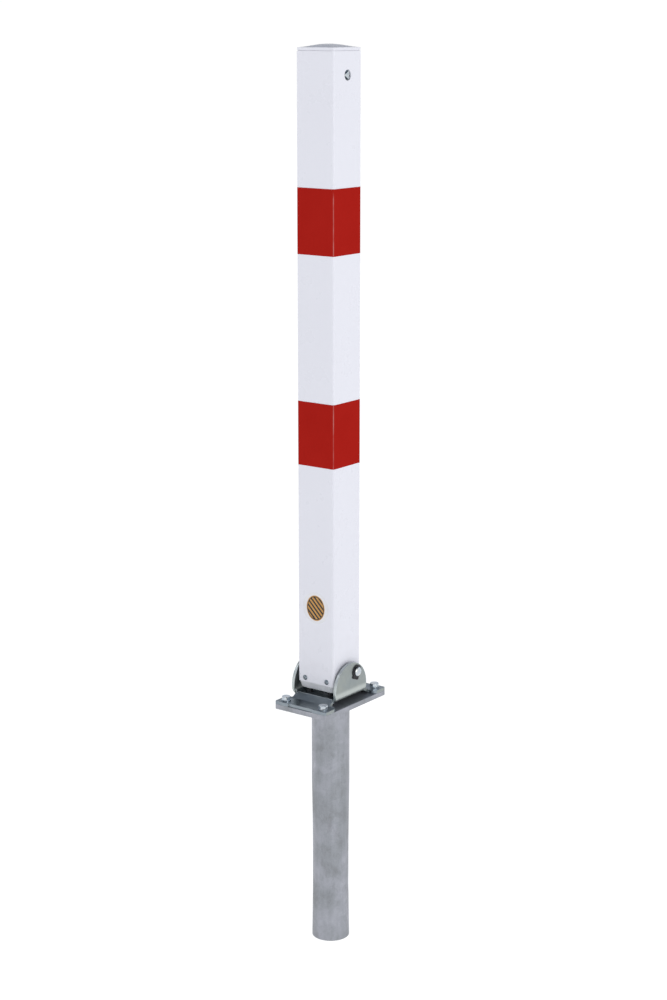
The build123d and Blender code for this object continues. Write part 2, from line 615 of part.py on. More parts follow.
def crank_washer():
    start = CRANK_INNER - CRANK_WASHER_THICKNESS
    ring = bar_x(CRANK_WASHER_DIAMETER / 2, start, CRANK_INNER, POST_Y, LOCK_Z)
    return ring - bar_x(CRANK_SCREW_DIAMETER / 2, start, CRANK_INNER, POST_Y, LOCK_Z)


def crank_screw():
    seat = CRANK_INNER - CRANK_WASHER_THICKNESS
    face = seat - CRANK_SCREW_HEAD_HEIGHT
    screw = bar_x(CRANK_SCREW_HEAD_DIAMETER / 2, face, seat, POST_Y, LOCK_Z)
    screw += bar_x(CRANK_SCREW_DIAMETER / 2, seat, CRANK_INNER + CRANK_SCREW_DEPTH, POST_Y, LOCK_Z)
    socket = hex_prism(CRANK_SCREW_SOCKET, CRANK_SCREW_HEAD_HEIGHT / 2)
    return screw - Pos(face, POST_Y, LOCK_Z) * Rot(0, 90, 0) * socket


def rod_yoke():
    """Slotted head that the crank pin lifts and lowers, with a sleeve for the rod."""
    front = YOKE_FRONT - YOKE_RIM
    rear = YOKE_REAR + YOKE_RIM
    height = YOKE_SLOT_HEIGHT + 2 * YOKE_RIM
    head = Pos(ROD_X, (front + rear) / 2, CRANK_PIN_Z) * Box(YOKE_THICKNESS, rear - front, height)
    length = YOKE_REAR - YOKE_FRONT
    slot = Box(YOKE_THICKNESS, length, YOKE_SLOT_HEIGHT)
    head -= Pos(ROD_X, (YOKE_FRONT + YOKE_REAR) / 2, CRANK_PIN_Z) * slot
    outer = ROD_DIAMETER / 2 + YOKE_SLEEVE_WALL
    base = YOKE_BASE - YOKE_SLEEVE_LENGTH
    yoke = head + bar_z(outer, base, YOKE_BASE, ROD_X, ROD_Y)
    yoke -= bar_z(ROD_DIAMETER / 2, base, YOKE_BASE, ROD_X, ROD_Y)
    return yoke - rivet_shank()


def rivet_shank():
    reach = ROD_DIAMETER / 2 + YOKE_SLEEVE_WALL
    height = YOKE_BASE - YOKE_SLEEVE_LENGTH / 2
    return bar_x(RIVET_DIAMETER / 2, ROD_X - reach, ROD_X + reach, ROD_Y, height)


def yoke_rivet():
    reach = ROD_DIAMETER / 2 + YOKE_SLEEVE_WALL
    height = YOKE_BASE - YOKE_SLEEVE_LENGTH / 2
    radius = RIVET_HEAD_DIAMETER / 2
    rivet = rivet_shank()
    for start in (ROD_X - reach - RIVET_HEAD_HEIGHT, ROD_X + reach):
        head = bar_x(radius, start, start + RIVET_HEAD_HEIGHT, ROD_Y, height)
        sleeve = bar_z(reach, height - radius, height + radius, ROD_X, ROD_Y)
        rivet += head - sleeve
    return rivet


def lock_rod():
    rod = bar_z(ROD_DIAMETER / 2, ROD_TIP, YOKE_BASE, ROD_X, ROD_Y)
    rod = chamfer(rod.edges().group_by(Axis.Z)[0], ROD_TIP_CHAMFER)
    return rod - rivet_shank()


def rod_guide(height):
    """Plate pressed into the tube, with a bore for the rod and two openings."""
    plate = post_prism(POST_INSIDE, POST_INSIDE_CORNER, height, height + GUIDE_THICKNESS)
    plate -= bar_z(ROD_DIAMETER / 2 + ROD_GUIDE_GAP, height, height + GUIDE_THICKNESS, ROD_X, ROD_Y)
    quarter = POST_INSIDE / 4
    for x in (-quarter, quarter):
        plate -= bar_z(GUIDE_OPENING / 2, height, height + GUIDE_THICKNESS, x, POST_Y + quarter)
    return plate


NODES = {
    "ground_tube": ground_tube(),
    "tube_weld": tube_weld(),
    "ground_plate": ground_plate(),
    "hinge_bracket": hinge_bracket(),
    "bracket_washers": bracket_washers(),
    "bracket_bolts": bracket_bolts(),
    "stop_screws": stop_screws(),
    "stop_nuts": stop_nuts(),
    "pivot_pin": pivot_pin(),
    "pin_retaining_rings": pin_retaining_rings(),
    "post_tube": post_tube(),
    "post_cap": post_cap(),
    "red_band_upper": red_band(UPPER_BAND_BELOW_TOP),
    "red_band_lower": red_band(LOWER_BAND_BELOW_TOP),
    "label": label(),
    "foot_block": foot_block(),
    "foot_screws": foot_screws(),
    "lock_housing": lock_housing(),
    "lock_spindle": lock_spindle(),
    "crank_arm": crank_arm(),
    "crank_pin": crank_pin(),
    "crank_washer": crank_washer(),
    "crank_screw": crank_screw(),
    "rod_yoke": rod_yoke(),
    "yoke_rivet": yoke_rivet(),
    "lock_rod": lock_rod(),
    "rod_guide_upper": rod_guide(TUBE_TOP - UPPER_GUIDE_BELOW_TOP),
    "rod_guide_middle": rod_guide(TUBE_TOP - MIDDLE_GUIDE_BELOW_TOP),
}

os.makedirs("parts", exist_ok=True)
for name, shape in NODES.items():
    solids = shape if isinstance(shape, list) else shape.solids()
    node = solids[0] if len(solids) == 1 else Compound(children=list(solids))
    export_step(node, f"parts/{name}.step")
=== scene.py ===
import json
import math

import bmesh
import bpy
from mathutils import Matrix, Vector

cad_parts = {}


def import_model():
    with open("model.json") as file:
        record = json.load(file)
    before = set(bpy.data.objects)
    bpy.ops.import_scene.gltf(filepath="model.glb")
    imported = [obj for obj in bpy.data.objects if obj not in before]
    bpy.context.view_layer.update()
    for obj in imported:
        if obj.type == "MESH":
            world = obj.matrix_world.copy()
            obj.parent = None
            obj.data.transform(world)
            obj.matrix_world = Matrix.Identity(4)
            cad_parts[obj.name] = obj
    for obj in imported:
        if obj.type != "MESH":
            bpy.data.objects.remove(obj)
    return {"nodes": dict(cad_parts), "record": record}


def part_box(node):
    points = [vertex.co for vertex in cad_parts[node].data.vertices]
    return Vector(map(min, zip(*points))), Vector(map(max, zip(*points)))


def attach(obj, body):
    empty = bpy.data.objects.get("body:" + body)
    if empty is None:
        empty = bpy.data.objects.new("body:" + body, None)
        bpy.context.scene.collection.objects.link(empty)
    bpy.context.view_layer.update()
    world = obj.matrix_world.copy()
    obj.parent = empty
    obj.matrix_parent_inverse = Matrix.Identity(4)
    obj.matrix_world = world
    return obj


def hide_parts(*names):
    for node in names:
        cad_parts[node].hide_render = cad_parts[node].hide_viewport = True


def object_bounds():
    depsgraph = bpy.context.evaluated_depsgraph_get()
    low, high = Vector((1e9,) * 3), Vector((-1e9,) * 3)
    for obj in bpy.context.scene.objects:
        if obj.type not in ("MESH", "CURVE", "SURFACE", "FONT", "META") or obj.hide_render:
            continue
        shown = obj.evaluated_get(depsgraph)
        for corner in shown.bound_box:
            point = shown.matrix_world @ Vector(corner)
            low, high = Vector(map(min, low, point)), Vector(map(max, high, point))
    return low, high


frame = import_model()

cad_low, cad_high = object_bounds()
nodes = frame["nodes"]

# Camera: place in metres, angles in degrees, lens and sensor in millimetres
CAMERA_PLACE = Vector((1.8516, -2.4719, 1.0594))
CAMERA_TURN = 36.751
CAMERA_DOWN = 13.28
CAMERA_LENS = 73.25
CAMERA_SENSOR = 36.0

# Ground tube, in metres and degrees: the waist and crimps that give it hold in concrete
TUBE_RADIUS = 0.03015
TUBE_WALL = 0.0029
TUBE_BEVEL = 0.002
TUBE_LIP = 0.0004
TUBE_STRAIGHT = 0.130
TUBE_WAIST = 0.0013
TUBE_SIDES = 128
TUBE_ROWS = 240
TUBE_SHARP_ANGLE = 40.0
CRIMP_COUNT = 3
CRIMP_TURN = -60.0
CRIMP_ABOVE_END = 0.092
CRIMP_DEPTH = 0.0022
CRIMP_HALF_HEIGHT = 0.013
CRIMP_HALF_WIDTH = 20.0

# Hinge bracket's ears, in metres: where they stand, where their masks fade in, and their bends
EAR_INNER = 0.0385
EAR_BASE = 0.016
EAR_FADE_START = 0.0020
EAR_FADE_END = 0.0005
EAR_BEND_TOP = 0.0170
EAR_BEND_FULL = 0.0120

# Share of the painted highlight on the ears' bends, and how far a flat face and a turned one look
# sideways
EAR_BEND_HIGHLIGHT_SHARE = 0.85
FACE_NORMAL = 0.99
TURNED_NORMAL = 0.94

# Road dust on the post, in metres above the ground line, and its greatest share
DUST_TOP = 0.20
DUST_FULL = 0.03
DUST_SHARE = 0.16

# Painted highlight on the red bands, a pale broken line along the corners: the product of a normal's
# X and Y is 0.5 in mid-corner
CORNER_START = 0.44
CORNER_FULL = 0.50

# Label print, in metres, then as shares of the oval's area, from its middle outwards
EMBLEM_HALF_WIDTH = 0.0175
EMBLEM_HALF_HEIGHT = 0.0205
STRIPE_PITCH = 0.0085
STRIPE_BLUR = 0.05
STRIPES_END = 0.75
BLACK_RING_END = 0.87
EMBLEM_END = 1.0
RING_BLUR = 0.01

# Studio floor, in metres
FLOOR_RADIUS = 30.0
FLOOR_DROP = 0.001
FLOOR_SIDES = 96
FLOOR_GREY = 0.3
FLOOR_ROUGHNESS = 0.9
FLOOR_GLOW = 0.94

# Surroundings, from the horizon up to the ceiling
SKY_STRENGTH = 1.02
SKY = (
    (0.03, (1.0, 1.0, 1.0)),
    (0.25, (0.88, 0.89, 0.92)),
    (0.50, (0.40, 0.44, 0.52)),
    (0.80, (0.10, 0.11, 0.13)),
)

# Lamps: name, place, point aimed at, width and height, all in metres, and watts
LAMPS = (
    ("strip_front_right", (2.12, -0.99, 0.9), (0, 0, 0.55), (0.5, 1.8), 9),
    ("high_front", (-1.5, -1.1, 1.9), (0, 0, 0.05), (0.4, 1.2), 6),
    ("right_fill", (2.2, 0.6, 0.9), (0, 0, 0.4), (1.0, 1.8), 4.5),
)

# Ranges for masks and noise; nearly all of a noise texture lies inside NOISE_RANGE
NONE_TO_FULL = (0.0, 1.0)
NOISE_RANGE = (0.3, 0.7)
WORN_EDGE_SAMPLES = 6


# ---------------------------------------------------------------- node helpers

def new_material(name):
    """An empty node material with a Principled shader wired to its output."""
    material = bpy.data.materials.new(name)
    material.use_nodes = True
    tree = material.node_tree
    return material, tree, tree.nodes["Principled BSDF"]


def add(tree, kind, **settings):
    node = tree.nodes.new(kind)
    for key, value in settings.items():
        setattr(node, key, value)
    return node


def feed(tree, socket, value):
    """Set a socket from a number, a tuple or another socket."""
    if isinstance(value, bpy.types.NodeSocket):
        tree.links.new(value, socket)
    else:
        socket.default_value = value


def place(tree, stretch=(1.0, 1.0, 1.0)):
    """Object coordinates, in metres in the row frame, scaled along each axis."""
    here = add(tree, "ShaderNodeTexCoord").outputs["Object"]
    if stretch == (1.0, 1.0, 1.0):
        return here
    node = add(tree, "ShaderNodeVectorMath", operation="MULTIPLY")
    feed(tree, node.inputs[0], here)
    feed(tree, node.inputs[1], stretch)
    return node.outputs["Vector"]


def split(tree, vector):
    """A vector's outputs, named X, Y and Z."""
    node = add(tree, "ShaderNodeSeparateXYZ")
    tree.links.new(vector, node.inputs["Vector"])
    return node.outputs


def facing(tree):
    """The surface's own direction, which stays with the piece when it moves."""
    return split(tree, add(tree, "ShaderNodeTexCoord").outputs["Normal"])


def noise(tree, vector, scale, detail=4.0, rough=0.55, warp=0.0):
    node = add(tree, "ShaderNodeTexNoise")
    node.inputs["Scale"].default_value = scale
    node.inputs["Detail"].default_value = detail
    node.inputs["Roughness"].default_value = rough
    node.inputs["Distortion"].default_value = warp
    tree.links.new(vector, node.inputs["Vector"])
    return node.outputs["Fac"]


def spangle(tree, vector, scale):
    """A grey value of its own for each zinc crystal."""
    node = add(tree, "ShaderNodeTexVoronoi")
    node.inputs["Scale"].default_value = scale
    tree.links.new(vector, node.inputs["Vector"])
    channels = add(tree, "ShaderNodeSeparateColor")
    tree.links.new(node.outputs["Color"], channels.inputs["Color"])
    return channels.outputs["Red"]


def calc(tree, operation, first, second=0.0):
    node = add(tree, "ShaderNodeMath", operation=operation)
    feed(tree, node.inputs[0], first)
    feed(tree, node.inputs[1], second)
    return node.outputs["Value"]


def ramp(tree, value, stops):
    """Colour ramp from a list of (position, colour) pairs."""
    node = add(tree, "ShaderNodeValToRGB")
    elements = node.color_ramp.elements
    while len(elements) < len(stops):
        elements.new(0.5)
    for element, (position, colour) in zip(elements, stops):
        element.position = position
        element.color = (*colour, 1.0)
    tree.links.new(value, node.inputs["Fac"])
    return node.outputs["Color"]


def two_tone(tree, pattern, first, second, span=NOISE_RANGE):
    """The first colour in a pattern's low patches, the second in its high ones."""
    return ramp(tree, pattern, list(zip(span, (first, second))))


def mapped(tree, value, given, wanted):
    """Stretch the given range onto the wanted one, held at both ends."""
    node = add(tree, "ShaderNodeMapRange")
    for key, number in zip(("From Min", "From Max", "To Min", "To Max"), (*given, *wanted)):
        node.inputs[key].default_value = number
    tree.links.new(value, node.inputs["Value"])
    return node.outputs["Result"]


def blend(tree, share, first, second):
    """Mix two colours; share is the second's part."""
    node = add(tree, "ShaderNodeMix", data_type="RGBA")
    for key, value in (("Factor_Float", share), ("A_Color", first), ("B_Color", second)):
        socket = next(item for item in node.inputs if item.identifier == key)
        feed(tree, socket, value if isinstance(value, bpy.types.NodeSocket) else (*value, 1.0))
    return next(item for item in node.outputs if item.identifier == "Result_Color")


def worn_edge(tree, radius, gain):
    """1 along convex and concave edges, 0 on open faces, and the softened normal."""
    soft = add(tree, "ShaderNodeBevel", samples=WORN_EDGE_SAMPLES)
    soft.inputs["Radius"].default_value = radius
    true = add(tree, "ShaderNodeNewGeometry").outputs["Normal"]
    dot = add(tree, "ShaderNodeVectorMath", operation="DOT_PRODUCT")
    tree.links.new(soft.outputs["Normal"], dot.inputs[0])
    tree.links.new(true, dot.inputs[1])
    edge = mapped(tree, dot.outputs["Value"], (1.0, 1.0 - 1.0 / gain), NONE_TO_FULL)
    return edge, soft.outputs["Normal"]


def rubbed(tree, shader, colour, bright, radius, gain, share, start=0.0):
    """Base colour that turns bright along worn edges, on bright zinc also a painted edge highlight.
    Gives back the softened normal.
    """
    edge, soft = worn_edge(tree, radius, gain)
    bare = mapped(tree, edge, (start, 1.0), (0.0, share))
    feed(tree, shader.inputs["Base Color"], blend(tree, bare, colour, bright))
    return soft


def gloss(tree, shader, pattern, roughness, span=NOISE_RANGE):
    """Roughness that follows a pattern between two values."""
    feed(tree, shader.inputs["Roughness"], mapped(tree, pattern, span, roughness))


def bump(tree, shader, height, distance, strength, normal=None):
    node = add(tree, "ShaderNodeBump")
    node.inputs["Strength"].default_value = strength
    node.inputs["Distance"].default_value = distance
    tree.links.new(height, node.inputs["Height"])
    if normal is not None:
        tree.links.new(normal, node.inputs["Normal"])
    tree.links.new(node.outputs["Normal"], shader.inputs["Normal"])


# ---------------------------------------------------------------- materials

def white_coating():
    """Powder coat: faint orange peel, soft cloudiness, and road dust near the foot."""
    greyer = (0.772, 0.774, 0.832)
    whiter = (0.788, 0.790, 0.848)
    road_dust = (0.55, 0.54, 0.55)
    material, tree, shader = new_material("white_coating")
    here = place(tree)
    coat = two_tone(tree, noise(tree, here, scale=7.0), greyer, whiter)
    low = mapped(tree, split(tree, here)["Z"], (DUST_TOP, DUST_FULL), NONE_TO_FULL)
    specks = noise(tree, here, scale=60.0, detail=6.0)
    dust = calc(tree, "MULTIPLY", low, mapped(tree, specks, (0.45, 0.75), (0.0, DUST_SHARE)))
    feed(tree, shader.inputs["Base Color"], blend(tree, dust, coat, road_dust))
    gloss(tree, shader, noise(tree, here, scale=25.0, detail=5.0), (0.24, 0.36))
    shader.inputs["Specular IOR Level"].default_value = 0.42
    peel = noise(tree, here, scale=650.0, detail=2.0)
    bump(tree, shader, peel, distance=0.00002, strength=0.3)
    return material


def red_film():
    """Red film: slightly uneven dye, fine grain, and a painted highlight line along the tube's
    corners.
    """
    deep_red = (0.368, 0.0130, 0.0090)
    clear_red = (0.392, 0.0150, 0.0105)
    streak_red = (0.30, 0.014, 0.010)
    painted_highlight_pink = (0.78, 0.50, 0.47)
    material, tree, shader = new_material("red_film")
    here = place(tree)
    dye = two_tone(tree, noise(tree, here, scale=16.0, detail=5.0), deep_red, clear_red)
    streaks = noise(tree, place(tree, (1.0, 1.0, 0.12)), scale=300.0, detail=3.0)
    film = blend(tree, mapped(tree, streaks, (0.62, 0.80), (0.0, 0.25)), dye, streak_red)
    # Painted highlight: a pale line, broken by noise, along the rounded corners where a lamp would
    # glint
    normal = facing(tree)
    turn = calc(tree, "ABSOLUTE", calc(tree, "MULTIPLY", normal["X"], normal["Y"]))
    corner = mapped(tree, turn, (CORNER_START, CORNER_FULL), NONE_TO_FULL)
    gaps = noise(tree, place(tree, (1.0, 1.0, 0.3)), scale=60.0, detail=4.0)
    line = calc(tree, "MULTIPLY", corner, mapped(tree, gaps, (0.42, 0.62), (0.0, 0.28)))
    feed(tree, shader.inputs["Base Color"], blend(tree, line, film, painted_highlight_pink))
    gloss(tree, shader, noise(tree, here, scale=30.0, detail=4.0), (0.30, 0.42))
    shader.inputs["Specular IOR Level"].default_value = 0.0
    bump(tree, shader, noise(tree, here, scale=800.0, detail=2.0), distance=0.00002, strength=0.5)
    return material


def galvanised():
    """Hot-dip zinc: crystals, clouds, long runs down the tube, stains and paler worn edges."""
    zinc_tones = [
        (0.36, (0.27, 0.28, 0.295)),
        (0.45, (0.32, 0.335, 0.36)),
        (0.54, (0.37, 0.38, 0.42)),
        (0.66, (0.47, 0.48, 0.52)),
    ]
    stain_grey = (0.19, 0.195, 0.20)
    worn_zinc = (0.52, 0.53, 0.55)
    material, tree, shader = new_material("galvanised")
    here = place(tree)
    cell = spangle(tree, here, scale=110.0)
    cloud = noise(tree, here, scale=15.0, detail=6.0, warp=0.3)
    runs = noise(tree, place(tree, (1.0, 1.0, 0.09)), scale=70.0, detail=5.0, rough=0.6)
    grain = noise(tree, here, scale=420.0, detail=3.0)
    tone = calc(tree, "MULTIPLY", cell, 0.05)
    for pattern, share in ((cloud, 0.60), (runs, 0.24), (grain, 0.11)):
        tone = calc(tree, "ADD", tone, calc(tree, "MULTIPLY", pattern, share))
    zinc = ramp(tree, tone, zinc_tones)
    marks = noise(tree, place(tree, (1.0, 1.0, 0.6)), scale=36.0, detail=9.0, rough=0.7)
    zinc = blend(tree, mapped(tree, marks, (0.53, 0.72), (0.0, 0.6)), zinc, stain_grey)
    soft = rubbed(tree, shader, zinc, worn_zinc, radius=0.0007, gain=3.0, share=0.6)
    shader.inputs["Metallic"].default_value = 0.8
    gloss(tree, shader, tone, (0.58, 0.46), span=(0.36, 0.66))
    bump(tree, shader, calc(tree, "ADD", runs, grain), distance=0.00012, strength=0.5, normal=soft)
    return material


def ear_masks(tree, here):
    """Masks for painted light: 1 off the flat side faces, on the cut rims of the bracket's ears, and
    on their bends.
    """
    at = split(tree, here)
    sideways = calc(tree, "ABSOLUTE", facing(tree)["X"])
    off_face = mapped(tree, sideways, (FACE_NORMAL, TURNED_NORMAL), NONE_TO_FULL)
    across = calc(tree, "ABSOLUTE", at["X"])
    side = mapped(tree, across, (EAR_INNER - EAR_FADE_START, EAR_INNER - EAR_FADE_END), NONE_TO_FULL)
    raised = mapped(tree, at["Z"], (EAR_BASE - EAR_FADE_START, EAR_BASE - EAR_FADE_END), NONE_TO_FULL)
    ear = calc(tree, "MULTIPLY", side, raised)
    bend_span = (EAR_BASE + EAR_BEND_TOP, EAR_BASE + EAR_BEND_FULL)
    bend = mapped(tree, at["Z"], bend_span, (0.0, EAR_BEND_HIGHLIGHT_SHARE))
    return off_face, calc(tree, "MULTIPLY", off_face, ear), calc(tree, "MULTIPLY", bend, ear)


def zinc_plate():
    """Passivated zinc on pressed sheet: rolling lines, a green tint, a painted bluish reflection on
    turned faces, and painted highlights on bends and rims.
    """
    dark_green = (0.29, 0.325, 0.33)
    pale_green = (0.34, 0.365, 0.345)
    painted_reflection_dark_blue = (0.24, 0.28, 0.32)
    painted_reflection_pale_blue = (0.32, 0.36, 0.38)
    painted_rim_highlight = (0.52, 0.56, 0.56)
    painted_bend_highlight = (0.52, 0.56, 0.54)
    worn_plate = (0.78, 0.81, 0.81)
    cloud_span = (0.34, 0.72)
    material, tree, shader = new_material("zinc_plate")
    here = place(tree)
    cloud = noise(tree, here, scale=38.0, detail=5.0, rough=0.6, warp=0.5)
    lines = noise(tree, place(tree, (1.0, 0.05, 1.0)), scale=900.0, detail=3.0)
    green = two_tone(tree, cloud, dark_green, pale_green, cloud_span)
    # Painted reflection: a bluish copy of the zinc, laid on faces turned away from the sides
    blue = two_tone(tree, cloud, painted_reflection_dark_blue, painted_reflection_pale_blue, cloud_span)
    off_face, rim, bend = ear_masks(tree, here)
    colour = blend(tree, off_face, green, blue)
    # Painted highlights: paler cut rims and bends on the ears
    colour = blend(tree, rim, colour, painted_rim_highlight)
    colour = blend(tree, bend, colour, painted_bend_highlight)
    soft = rubbed(tree, shader, colour, worn_plate, radius=0.0008, gain=3.0, share=0.55)
    shader.inputs["Metallic"].default_value = 1.0
    gloss(tree, shader, noise(tree, here, scale=90.0, detail=4.0), (0.34, 0.46))
    bump(tree, shader, lines, distance=0.00003, strength=0.5, normal=soft)
    return material


def bright_zinc():
    """Bright zinc on bolts and washers: glossy, with a faint straw and blue cast and nicks, and pale
    edges that are partly wear and partly a painted highlight.
    """
    cast_tones = [
        (0.35, (0.42, 0.48, 0.54)),
        (0.55, (0.58, 0.62, 0.65)),
        (0.70, (0.68, 0.69, 0.64)),
    ]
    worn_and_highlight_zinc = (0.66, 0.69, 0.71)
    material, tree, shader = new_material("bright_zinc")
    here = place(tree)
    cast = ramp(tree, noise(tree, here, scale=120.0, detail=5.0), cast_tones)
    # Pale edges: partly wear, partly a painted edge highlight
    soft = rubbed(tree, shader, cast, worn_and_highlight_zinc, radius=0.0005, gain=2.5, share=0.6)
    shader.inputs["Metallic"].default_value = 1.0
    gloss(tree, shader, noise(tree, here, scale=300.0, detail=4.0), (0.11, 0.24))
    nicks = noise(tree, here, scale=700.0, detail=3.0)
    bump(tree, shader, nicks, distance=0.00004, strength=0.5, normal=soft)
    return material


def black_steel():
    """Blackened spring steel: oily patches and steel showing through along the edges."""
    oily_black = (0.010, 0.010, 0.012)
    dry_black = (0.030, 0.030, 0.034)
    worn_steel = (0.16, 0.16, 0.17)
    material, tree, shader = new_material("black_steel")
    here = place(tree)
    patches = noise(tree, here, scale=260.0, detail=5.0)
    oil = two_tone(tree, patches, oily_black, dry_black, (0.35, 0.7))
    soft = rubbed(tree, shader, oil, worn_steel, radius=0.0003, gain=2.0, share=0.3, start=0.3)
    shader.inputs["Metallic"].default_value = 0.5
    gloss(tree, shader, noise(tree, here, scale=180.0, detail=4.0), (0.30, 0.50))
    grain = noise(tree, here, scale=900.0, detail=2.0)
    bump(tree, shader, grain, distance=0.00003, strength=0.5, normal=soft)
    return material


def cast_aluminium():
    """Sand-cast skin: pebbled grain, darker pores and worn-down edges."""
    dull_skin = (0.70, 0.71, 0.74)
    clean_skin = (0.80, 0.81, 0.83)
    pore_grey = (0.28, 0.28, 0.30)
    material, tree, shader = new_material("cast_aluminium")
    here = place(tree)
    pores = noise(tree, here, scale=1100.0, detail=3.0, rough=0.65)
    skin = two_tone(tree, noise(tree, here, scale=70.0, detail=6.0), dull_skin, clean_skin)
    dark = mapped(tree, pores, (0.60, 0.74), (0.0, 0.6))
    feed(tree, shader.inputs["Base Color"], blend(tree, dark, skin, pore_grey))
    shader.inputs["Metallic"].default_value = 0.5
    gloss(tree, shader, pores, (0.42, 0.62))
    edge, soft = worn_edge(tree, radius=0.0006, gain=3.0)
    pebbles = calc(tree, "SUBTRACT", pores, edge)
    bump(tree, shader, pebbles, distance=0.00010, strength=0.5, normal=soft)
    return material


def drawn_steel():
    """Cold-drawn steel: fine lines along the bar, thin oil and light rust blooms."""
    dark_line = (0.30, 0.30, 0.31)
    pale_line = (0.43, 0.43, 0.44)
    rust = (0.21, 0.12, 0.07)
    material, tree, shader = new_material("drawn_steel")
    here = place(tree)
    lines = noise(tree, place(tree, (1.0, 1.0, 0.02)), scale=1500.0, detail=3.0)
    steel = two_tone(tree, lines, dark_line, pale_line)
    blooms = noise(tree, here, scale=60.0, detail=7.0, rough=0.7)
    rusted = mapped(tree, blooms, (0.64, 0.80), (0.0, 0.6))
    feed(tree, shader.inputs["Base Color"], blend(tree, rusted, steel, rust))
    shader.inputs["Metallic"].default_value = 0.95
    gloss(tree, shader, lines, (0.28, 0.42))
    bump(tree, shader, lines, distance=0.00003, strength=0.5)
    return material


def guide_plastic():
    """Moulded black plastic with a spark-eroded grain."""
    deep_black = (0.012, 0.012, 0.014)
    soft_black = (0.026, 0.026, 0.029)
    material, tree, shader = new_material("guide_plastic")
    here = place(tree)
    grain = noise(tree, here, scale=1400.0, detail=2.0)
    plastic = two_tone(tree, noise(tree, here, scale=50.0), deep_black, soft_black)
    feed(tree, shader.inputs["Base Color"], plastic)
    gloss(tree, shader, grain, (0.48, 0.68))
    bump(tree, shader, grain, distance=0.00005, strength=0.6)
    return material


def oval_share(tree, across, up):
    """Share of the emblem's area inside a point: 0 in its middle and 1 on its outline."""
    squares = []
    for distance, half in ((across, EMBLEM_HALF_WIDTH), (up, EMBLEM_HALF_HEIGHT)):
        share = calc(tree, "DIVIDE", calc(tree, "ABSOLUTE", distance), half)
        squares.append(calc(tree, "POWER", share, 2.0))
    return calc(tree, "ADD", *squares)


def printed_label():
    """Clear round film with an oval of amber and black warning stripes."""
    ink_black = ((0.012, 0.011, 0.010), (0.03, 0.026, 0.022))
    ink_amber = ((0.50, 0.24, 0.05), (0.62, 0.33, 0.09))
    clear_film = ((0.74, 0.74, 0.77), (0.79, 0.79, 0.82))
    material, tree, shader = new_material("printed_label")
    here = place(tree)
    low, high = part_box("label")
    middle = (Vector(low) + Vector(high)) / 2
    at = split(tree, here)
    across = calc(tree, "SUBTRACT", at["X"], middle.x)
    up = calc(tree, "SUBTRACT", at["Z"], middle.z)
    oval = oval_share(tree, across, up)
    turn = calc(tree, "MULTIPLY", calc(tree, "ADD", across, up), math.tau / STRIPE_PITCH)
    ink = noise(tree, here, scale=500.0, detail=4.0)
    black = two_tone(tree, ink, *ink_black)
    amber = two_tone(tree, ink, *ink_amber)
    film = two_tone(tree, noise(tree, here, scale=60.0), *clear_film)
    stripe = mapped(tree, calc(tree, "SINE", turn), (-STRIPE_BLUR, STRIPE_BLUR), NONE_TO_FULL)
    colour = blend(tree, stripe, black, amber)
    for start, outside in ((STRIPES_END, black), (BLACK_RING_END, amber), (EMBLEM_END, film)):
        beyond = mapped(tree, oval, (start - RING_BLUR, start + RING_BLUR), NONE_TO_FULL)
        colour = blend(tree, beyond, colour, outside)
    feed(tree, shader.inputs["Base Color"], colour)
    gloss(tree, shader, ink, (0.16, 0.26))
    shader.inputs["Specular IOR Level"].default_value = 0.4
    bump(tree, shader, noise(tree, here, scale=120.0, detail=2.0), distance=0.00003, strength=0.4)
    return material


FINISHES = {
    "galvanised_steel": galvanised(),
    "zinc_plated_steel": zinc_plate(),
    "bright_zinc_fasteners": bright_zinc(),
    "black_spring_steel": black_steel(),
    "white_powder_coat": white_coating(),
    "red_foil": red_film(),
    "label_foil": printed_label(),
    "cast_aluminium": cast_aluminium(),
    "plain_steel": drawn_steel(),
    "guide_plastic": guide_plastic(),
}

for part in frame["record"]["subparts"]:
    mesh = nodes[part["node"]].data
    mesh.materials.clear()
    mesh.materials.append(FINISHES[part["material_slot"]])


# ---------------------------------------------------------------- ground tube

def tube_offset(angle, height, bottom):
    """How far the wall stands inside its full radius, at one angle and height."""
    run = (-TUBE_STRAIGHT - height) / (-TUBE_STRAIGHT - bottom)
    waist = TUBE_WAIST * math.sin(math.pi * run) if run > 0 else 0.0
    rise = (height - bottom - CRIMP_ABOVE_END) / CRIMP_HALF_HEIGHT
    dent = 0.0
    for i in range(CRIMP_COUNT):
        away = math.degrees(angle) - CRIMP_TURN - 360 / CRIMP_COUNT * i
        away = (away + 180) % 360 - 180
        dent += CRIMP_DEPTH * math.exp(-(away / CRIMP_HALF_WIDTH) ** 2)
    return waist + dent * math.exp(-rise ** 2)


def tube_path(low, high):
    """Once round the wall's section, as (radius, height, 1 where the crimps press it in)."""
    inner = TUBE_RADIUS - TUBE_WALL
    bevel_end = high.z - 2 * TUBE_BEVEL
    wall_end = low.z + TUBE_LIP
    heights = [bevel_end + (wall_end - bevel_end) * i / TUBE_ROWS for i in range(TUBE_ROWS + 1)]
    path = [(TUBE_RADIUS - TUBE_BEVEL, high.z, 0)]
    path += [(TUBE_RADIUS, height, 1) for height in heights]
    path += [(TUBE_RADIUS - TUBE_LIP, low.z, 1), (inner + TUBE_LIP, low.z, 1)]
    path += [(inner, height, 1) for height in reversed(heights)]
    path += [(inner, high.z, 0)]
    return path


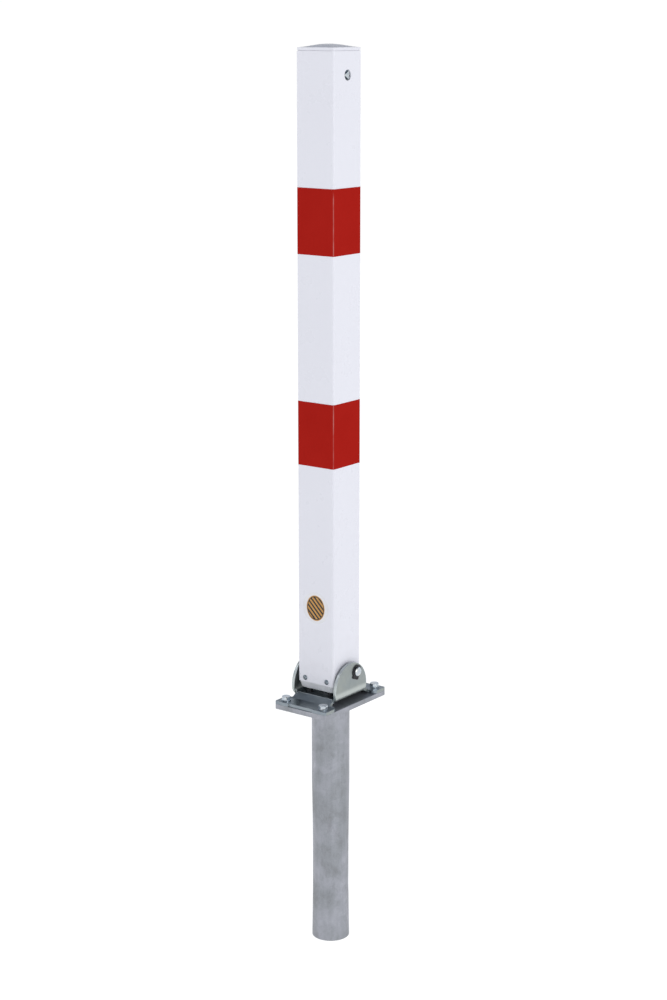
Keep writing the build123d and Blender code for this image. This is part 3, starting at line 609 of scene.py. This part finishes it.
def ground_tube():
    """The tube as one closed skin: outer wall, lower rim, inner wall and upper rim."""
    low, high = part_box("ground_tube")
    build = bmesh.new()
    rows = []
    for radius, height, dented in tube_path(low, high):
        row = []
        for i in range(TUBE_SIDES):
            angle = math.tau * i / TUBE_SIDES
            reach = radius - dented * tube_offset(angle, height, low.z)
            row.append(build.verts.new((reach * math.cos(angle), reach * math.sin(angle), height)))
        rows.append(row)
    for first, second in zip(rows, rows[1:] + rows[:1]):
        for i in range(TUBE_SIDES):
            j = (i + 1) % TUBE_SIDES
            build.faces.new((first[i], second[i], second[j], first[j]))
    bmesh.ops.recalc_face_normals(build, faces=build.faces)
    skin = bpy.data.meshes.new("ground_tube_skin")
    build.to_mesh(skin)
    build.free()
    skin.shade_smooth()
    skin.set_sharp_from_angle(angle=math.radians(TUBE_SHARP_ANGLE))
    skin.materials.append(FINISHES["galvanised_steel"])
    piece = bpy.data.objects.new("ground_tube_skin", skin)
    bpy.context.scene.collection.objects.link(piece)
    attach(piece, "ground_anchor")
    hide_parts("ground_tube")


ground_tube()


# ---------------------------------------------------------------- studio

def studio_floor():
    """A wide disc just under the lowest piece, lit from within to almost the horizon's white."""
    bpy.ops.mesh.primitive_circle_add(
        vertices=FLOOR_SIDES,
        radius=FLOOR_RADIUS,
        fill_type="NGON",
        location=(0, 0, cad_low.z - FLOOR_DROP),
    )
    floor = bpy.context.object
    floor.name = "studio_floor"
    material, tree, shader = new_material("studio_floor")
    shader.inputs["Base Color"].default_value = (FLOOR_GREY, FLOOR_GREY, FLOOR_GREY, 1)
    shader.inputs["Roughness"].default_value = FLOOR_ROUGHNESS
    shader.inputs["Specular IOR Level"].default_value = 0.0
    shader.inputs["Emission Color"].default_value = (1, 1, 1, 1)
    shader.inputs["Emission Strength"].default_value = FLOOR_GLOW
    floor.data.materials.append(material)


def softbox(name, spot, aim, size, power):
    """A flat rectangular lamp, turned to face the point it is aimed at."""
    light = bpy.data.lights.new(name, "AREA")
    light.shape = "RECTANGLE"
    light.size, light.size_y = size
    light.energy = power
    lamp = bpy.data.objects.new(name, light)
    bpy.context.scene.collection.objects.link(lamp)
    lamp.location = spot
    lamp.rotation_euler = (Vector(aim) - Vector(spot)).to_track_quat("-Z", "Y").to_euler()


def world():
    """A cove: white at the horizon and a dim, cool ceiling."""
    surround = bpy.data.worlds.new("studio")
    surround.use_nodes = True
    tree = surround.node_tree
    upward = split(tree, add(tree, "ShaderNodeTexCoord").outputs["Generated"])["Z"]
    background = tree.nodes["Background"]
    tree.links.new(ramp(tree, upward, SKY), background.inputs["Color"])
    background.inputs["Strength"].default_value = SKY_STRENGTH
    bpy.context.scene.world = surround


def camera():
    data = bpy.data.cameras.new("camera")
    data.sensor_width = CAMERA_SENSOR
    data.lens = CAMERA_LENS
    eye = bpy.data.objects.new("camera", data)
    bpy.context.scene.collection.objects.link(eye)
    eye.location = CAMERA_PLACE
    eye.rotation_euler = (math.radians(90 - CAMERA_DOWN), 0, math.radians(CAMERA_TURN))
    bpy.context.scene.camera = eye


studio_floor()
world()
for lamp_values in LAMPS:
    softbox(*lamp_values)
camera()
bpy.context.scene.view_settings.view_transform = "Standard"
